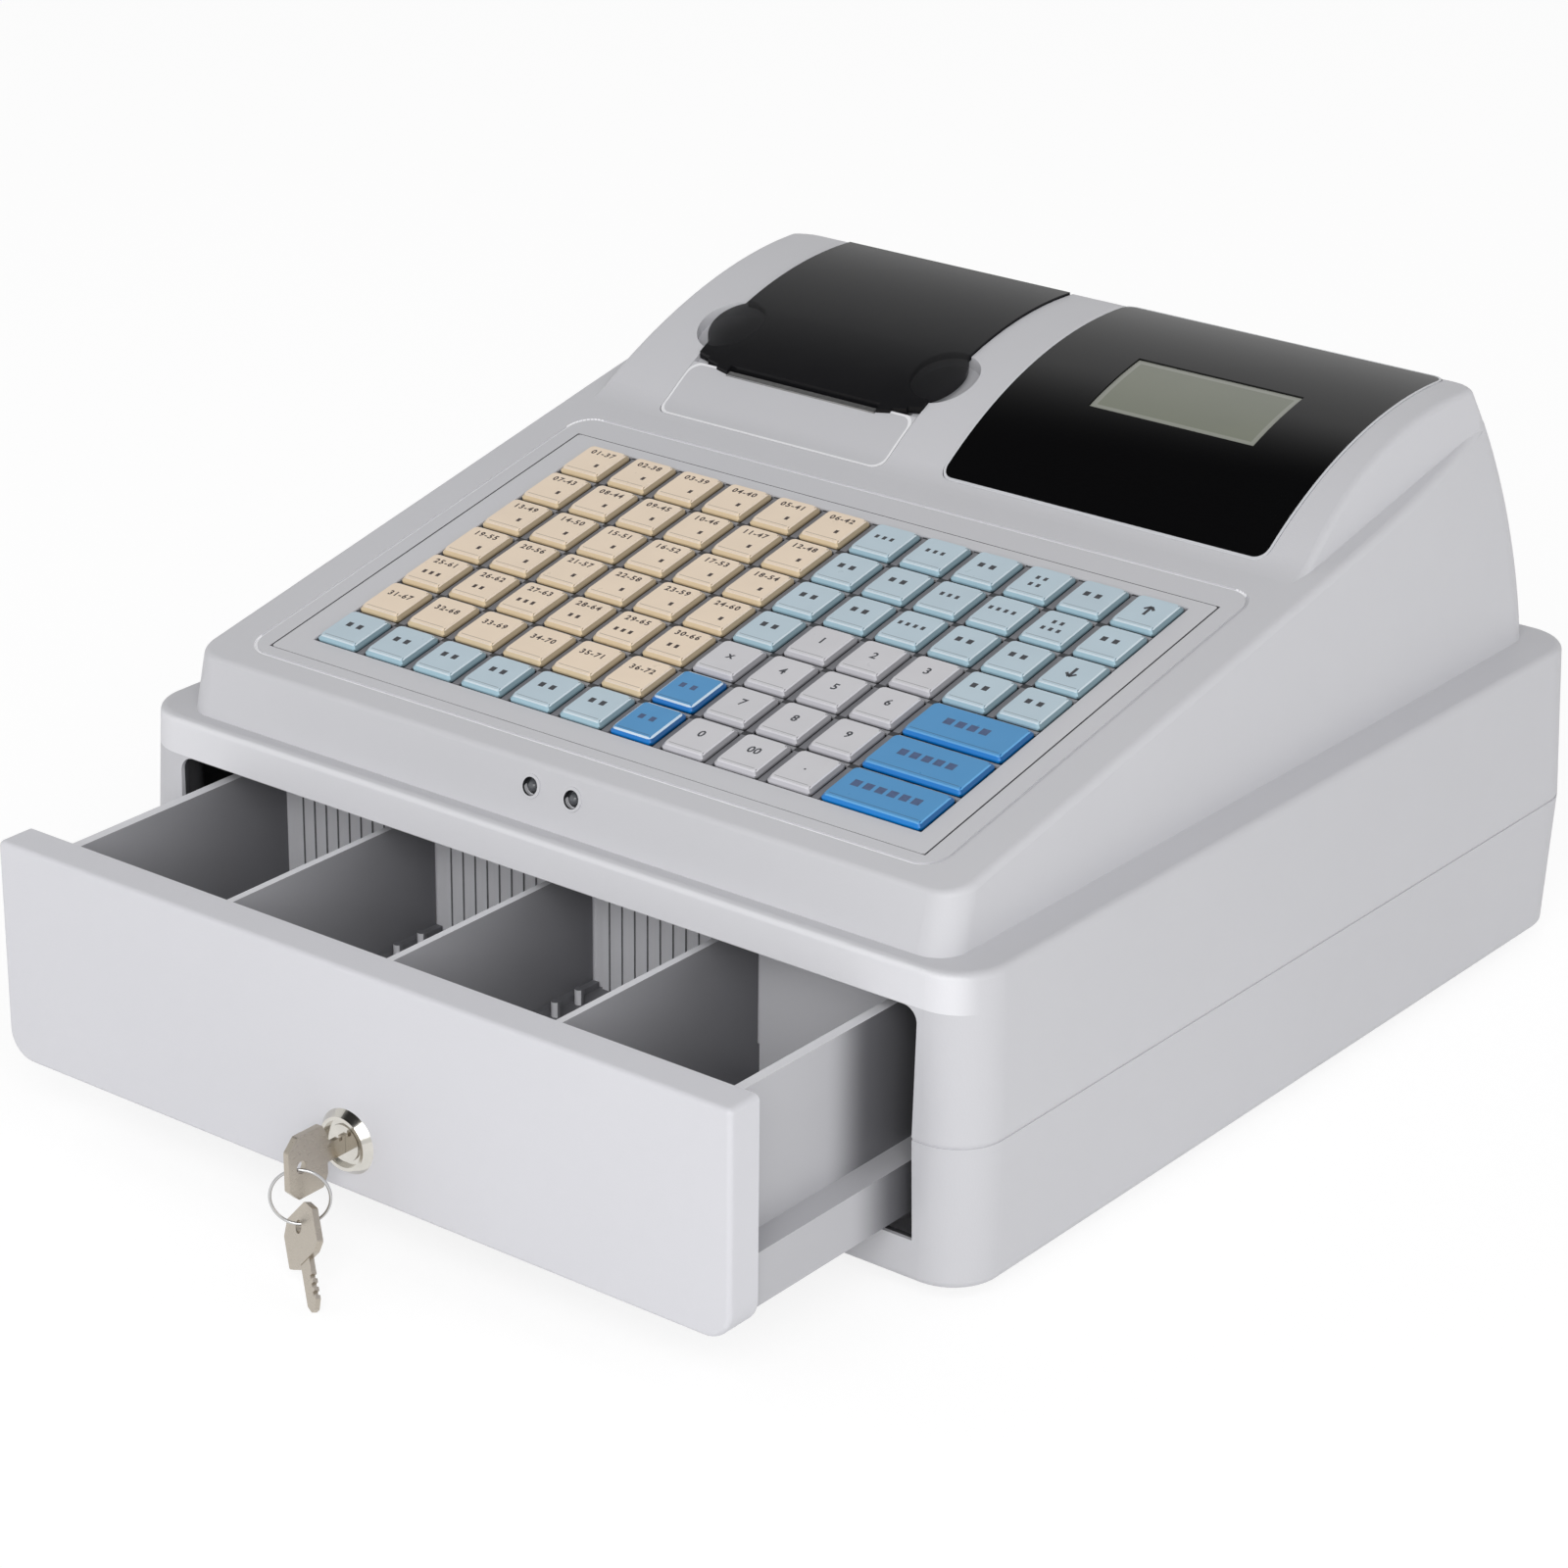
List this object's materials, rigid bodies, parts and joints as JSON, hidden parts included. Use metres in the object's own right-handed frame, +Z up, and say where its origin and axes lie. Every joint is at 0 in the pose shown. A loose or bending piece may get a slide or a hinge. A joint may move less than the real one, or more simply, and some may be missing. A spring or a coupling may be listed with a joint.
{
  "type": "cash register",
  "caption": "Electronic cash register with a sloped keyboard, receipt printer, display window and a partly open cash drawer with lock and keys.",
  "frame": {"origin": "on the table plane under the middle of the whole register as it stands, with the drawer partly open and the keys hanging from it", "axes": "+X to the right seen from the front, +Y to the back, +Z up"},
  "size_m": [0.33, 0.46, 0.1986],
  "materials": {
    "cabinet_grey": "fine matt texture",
    "housing_grey": "fine matt texture",
    "front_grey": "fine matt texture",
    "panel_grey": "satin",
    "tray_grey": "satin",
    "foot_rubber": "matt",
    "screw_steel": "zinc plated",
    "lamp": "clear lens over a dark bulb",
    "window_black": "polished",
    "screen": "smooth",
    "smoked_cover": "smoked, polished",
    "bright_metal": "bright plated",
    "dark_plastic": "matt",
    "paper": "smooth",
    "board_green": "solder mask",
    "core_steel": "rolled",
    "black_plastic": "matt",
    "key_nickel": "stamped, nickel plated",
    "key_cream": "satin",
    "key_pale_blue": "satin",
    "key_grey": "satin",
    "key_blue": "satin"
  },
  "bodies": {
    "cabinet": {"base_lower_shell": "cabinet_grey", "base_upper_shell": "cabinet_grey", "rubber_feet": "foot_rubber", "case_screws": "screw_steel", "top_housing": "housing_grey", "indicator_lamps": "lamp", "display_window": "window_black", "screen_module": "screen", "printer_front_panel": "panel_grey", "tear_bar": "bright_metal", "printer_frame": "dark_plastic", "main_board": "board_green", "power_supply": "core_steel", "power_inlet": "black_plastic", "keyboard_panel": "panel_grey", "keyboard_board": "board_green"},
    "drawer": {"drawer_front": "front_grey", "drawer_tray": "tray_grey", "divider_left": "tray_grey", "divider_middle": "tray_grey", "divider_right": "tray_grey", "lock_body": "bright_metal"},
    "lock": {"lock_plug": "bright_metal", "lock_cam": "core_steel", "drawer_key": "key_nickel"},
    "ring": {"key_ring": "bright_metal"},
    "spare": {"spare_key": "key_nickel"},
    "cover": {"printer_cover": "smoked_cover"},
    "platen": {"platen_roller": "foot_rubber"},
    "roll": {"paper_roll": "paper"},
    "latch": {"release_latch": "core_steel"},
    "cream_keys_row_1": {"cream_keys_row_1": "key_cream"},
    "cream_keys_row_2": {"cream_keys_row_2": "key_cream"},
    "cream_keys_row_3": {"cream_keys_row_3": "key_cream"},
    "cream_keys_row_4": {"cream_keys_row_4": "key_cream"},
    "cream_keys_row_5": {"cream_keys_row_5": "key_cream"},
    "cream_keys_row_6": {"cream_keys_row_6": "key_cream"},
    "pale_keys_row_1": {"pale_keys_row_1": "key_pale_blue"},
    "pale_keys_row_2": {"pale_keys_row_2": "key_pale_blue"},
    "pale_keys_row_3": {"pale_keys_row_3": "key_pale_blue"},
    "pale_keys_row_4": {"pale_keys_row_4": "key_pale_blue"},
    "pale_keys_row_7": {"pale_keys_row_7": "key_pale_blue"},
    "digit_key_0": {"digit_key_0": "key_grey"},
    "digit_key_1": {"digit_key_1": "key_grey"},
    "digit_key_2": {"digit_key_2": "key_grey"},
    "digit_key_3": {"digit_key_3": "key_grey"},
    "digit_key_4": {"digit_key_4": "key_grey"},
    "digit_key_5": {"digit_key_5": "key_grey"},
    "digit_key_6": {"digit_key_6": "key_grey"},
    "digit_key_7": {"digit_key_7": "key_grey"},
    "digit_key_8": {"digit_key_8": "key_grey"},
    "digit_key_9": {"digit_key_9": "key_grey"},
    "double_zero_key": {"double_zero_key": "key_grey"},
    "point_key": {"point_key": "key_grey"},
    "multiply_key": {"multiply_key": "key_grey"},
    "blue_key_back": {"blue_key_back": "key_blue"},
    "blue_key_front": {"blue_key_front": "key_blue"},
    "wide_key_back": {"wide_key_back": "key_blue"},
    "wide_key_middle": {"wide_key_middle": "key_blue"},
    "wide_key_front": {"wide_key_front": "key_blue"}
  },
  "joints": [
    {"name": "drawer_slide", "type": "slide", "parent": "cabinet", "child": "drawer", "axis": [0, -1, 0], "range_m": [-0.0795, 0.16]},
    {"name": "lock_turn", "type": "hinge", "parent": "drawer", "child": "lock", "pos_m": [0, -0.1965, 0.037], "axis": [0, -1, 0], "range_deg": [0, 90]},
    {"name": "ring_swing", "type": "hinge", "parent": "lock", "child": "ring", "pos_m": [0, -0.2167, 0.037], "axis": [-1, 0, 0], "range_deg": [-20, 60]},
    {"name": "spare_key_swing", "type": "hinge", "parent": "ring", "child": "spare", "pos_m": [0, -0.2167, 0.0183], "axis": [-0.7902, -0.6129, 0], "range_deg": [0, 60]},
    {"name": "cover_hinge", "type": "hinge", "parent": "cabinet", "child": "cover", "pos_m": [-0.067, 0.1905, 0.19564], "axis": [-1, 0, 0], "range_deg": [0, 95]},
    {"name": "platen_spin", "type": "hinge", "parent": "cabinet", "child": "platen", "pos_m": [-0.067, 0.1125, 0.16826], "axis": [1, 0, 0], "continuous": true},
    {"name": "paper_spin", "type": "hinge", "parent": "cabinet", "child": "roll", "pos_m": [-0.067, 0.1555, 0.16381], "axis": [1, 0, 0], "continuous": true},
    {"name": "latch_lift", "type": "hinge", "parent": "cabinet", "child": "latch", "pos_m": [0, 0.2145, 0.024], "axis": [-1, 0, 0], "range_deg": [0, 12]},
    {"name": "cream_keys_row_1_press", "type": "slide", "parent": "cabinet", "child": "cream_keys_row_1", "axis": [0, 0.2019, -0.9794], "range_m": [0, 0.0025], "stiffness_N_per_m": 170, "springref_m": -0.003},
    {"name": "cream_keys_row_2_press", "type": "slide", "parent": "cabinet", "child": "cream_keys_row_2", "axis": [0, 0.2019, -0.9794], "range_m": [0, 0.0025], "stiffness_N_per_m": 170, "springref_m": -0.003},
    {"name": "cream_keys_row_3_press", "type": "slide", "parent": "cabinet", "child": "cream_keys_row_3", "axis": [0, 0.2019, -0.9794], "range_m": [0, 0.0025], "stiffness_N_per_m": 170, "springref_m": -0.003},
    {"name": "cream_keys_row_4_press", "type": "slide", "parent": "cabinet", "child": "cream_keys_row_4", "axis": [0, 0.2019, -0.9794], "range_m": [0, 0.0025], "stiffness_N_per_m": 170, "springref_m": -0.003},
    {"name": "cream_keys_row_5_press", "type": "slide", "parent": "cabinet", "child": "cream_keys_row_5", "axis": [0, 0.2019, -0.9794], "range_m": [0, 0.0025], "stiffness_N_per_m": 170, "springref_m": -0.003},
    {"name": "cream_keys_row_6_press", "type": "slide", "parent": "cabinet", "child": "cream_keys_row_6", "axis": [0, 0.2019, -0.9794], "range_m": [0, 0.0025], "stiffness_N_per_m": 170, "springref_m": -0.003},
    {"name": "pale_keys_row_1_press", "type": "slide", "parent": "cabinet", "child": "pale_keys_row_1", "axis": [0, 0.2019, -0.9794], "range_m": [0, 0.0025], "stiffness_N_per_m": 170, "springref_m": -0.003},
    {"name": "pale_keys_row_2_press", "type": "slide", "parent": "cabinet", "child": "pale_keys_row_2", "axis": [0, 0.2019, -0.9794], "range_m": [0, 0.0025], "stiffness_N_per_m": 170, "springref_m": -0.003},
    {"name": "pale_keys_row_3_press", "type": "slide", "parent": "cabinet", "child": "pale_keys_row_3", "axis": [0, 0.2019, -0.9794], "range_m": [0, 0.0025], "stiffness_N_per_m": 170, "springref_m": -0.003},
    {"name": "pale_keys_row_4_press", "type": "slide", "parent": "cabinet", "child": "pale_keys_row_4", "axis": [0, 0.2019, -0.9794], "range_m": [0, 0.0025], "stiffness_N_per_m": 170, "springref_m": -0.003},
    {"name": "pale_keys_row_7_press", "type": "slide", "parent": "cabinet", "child": "pale_keys_row_7", "axis": [0, 0.2019, -0.9794], "range_m": [0, 0.0025], "stiffness_N_per_m": 170, "springref_m": -0.003},
    {"name": "digit_key_0_press", "type": "slide", "parent": "cabinet", "child": "digit_key_0", "axis": [0, 0.2019, -0.9794], "range_m": [0, 0.0025], "stiffness_N_per_m": 170, "springref_m": -0.003},
    {"name": "digit_key_1_press", "type": "slide", "parent": "cabinet", "child": "digit_key_1", "axis": [0, 0.2019, -0.9794], "range_m": [0, 0.0025], "stiffness_N_per_m": 170, "springref_m": -0.003},
    {"name": "digit_key_2_press", "type": "slide", "parent": "cabinet", "child": "digit_key_2", "axis": [0, 0.2019, -0.9794], "range_m": [0, 0.0025], "stiffness_N_per_m": 170, "springref_m": -0.003},
    {"name": "digit_key_3_press", "type": "slide", "parent": "cabinet", "child": "digit_key_3", "axis": [0, 0.2019, -0.9794], "range_m": [0, 0.0025], "stiffness_N_per_m": 170, "springref_m": -0.003},
    {"name": "digit_key_4_press", "type": "slide", "parent": "cabinet", "child": "digit_key_4", "axis": [0, 0.2019, -0.9794], "range_m": [0, 0.0025], "stiffness_N_per_m": 170, "springref_m": -0.003},
    {"name": "digit_key_5_press", "type": "slide", "parent": "cabinet", "child": "digit_key_5", "axis": [0, 0.2019, -0.9794], "range_m": [0, 0.0025], "stiffness_N_per_m": 170, "springref_m": -0.003},
    {"name": "digit_key_6_press", "type": "slide", "parent": "cabinet", "child": "digit_key_6", "axis": [0, 0.2019, -0.9794], "range_m": [0, 0.0025], "stiffness_N_per_m": 170, "springref_m": -0.003},
    {"name": "digit_key_7_press", "type": "slide", "parent": "cabinet", "child": "digit_key_7", "axis": [0, 0.2019, -0.9794], "range_m": [0, 0.0025], "stiffness_N_per_m": 170, "springref_m": -0.003},
    {"name": "digit_key_8_press", "type": "slide", "parent": "cabinet", "child": "digit_key_8", "axis": [0, 0.2019, -0.9794], "range_m": [0, 0.0025], "stiffness_N_per_m": 170, "springref_m": -0.003},
    {"name": "digit_key_9_press", "type": "slide", "parent": "cabinet", "child": "digit_key_9", "axis": [0, 0.2019, -0.9794], "range_m": [0, 0.0025], "stiffness_N_per_m": 170, "springref_m": -0.003},
    {"name": "double_zero_key_press", "type": "slide", "parent": "cabinet", "child": "double_zero_key", "axis": [0, 0.2019, -0.9794], "range_m": [0, 0.0025], "stiffness_N_per_m": 170, "springref_m": -0.003},
    {"name": "point_key_press", "type": "slide", "parent": "cabinet", "child": "point_key", "axis": [0, 0.2019, -0.9794], "range_m": [0, 0.0025], "stiffness_N_per_m": 170, "springref_m": -0.003},
    {"name": "multiply_key_press", "type": "slide", "parent": "cabinet", "child": "multiply_key", "axis": [0, 0.2019, -0.9794], "range_m": [0, 0.0025], "stiffness_N_per_m": 170, "springref_m": -0.003},
    {"name": "blue_key_back_press", "type": "slide", "parent": "cabinet", "child": "blue_key_back", "axis": [0, 0.2019, -0.9794], "range_m": [0, 0.0025], "stiffness_N_per_m": 170, "springref_m": -0.003},
    {"name": "blue_key_front_press", "type": "slide", "parent": "cabinet", "child": "blue_key_front", "axis": [0, 0.2019, -0.9794], "range_m": [0, 0.0025], "stiffness_N_per_m": 170, "springref_m": -0.003},
    {"name": "wide_key_back_press", "type": "slide", "parent": "cabinet", "child": "wide_key_back", "axis": [0, 0.2019, -0.9794], "range_m": [0, 0.0025], "stiffness_N_per_m": 170, "springref_m": -0.003},
    {"name": "wide_key_middle_press", "type": "slide", "parent": "cabinet", "child": "wide_key_middle", "axis": [0, 0.2019, -0.9794], "range_m": [0, 0.0025], "stiffness_N_per_m": 170, "springref_m": -0.003},
    {"name": "wide_key_front_press", "type": "slide", "parent": "cabinet", "child": "wide_key_front", "axis": [0, 0.2019, -0.9794], "range_m": [0, 0.0025], "stiffness_N_per_m": 170, "springref_m": -0.003}
  ]
}
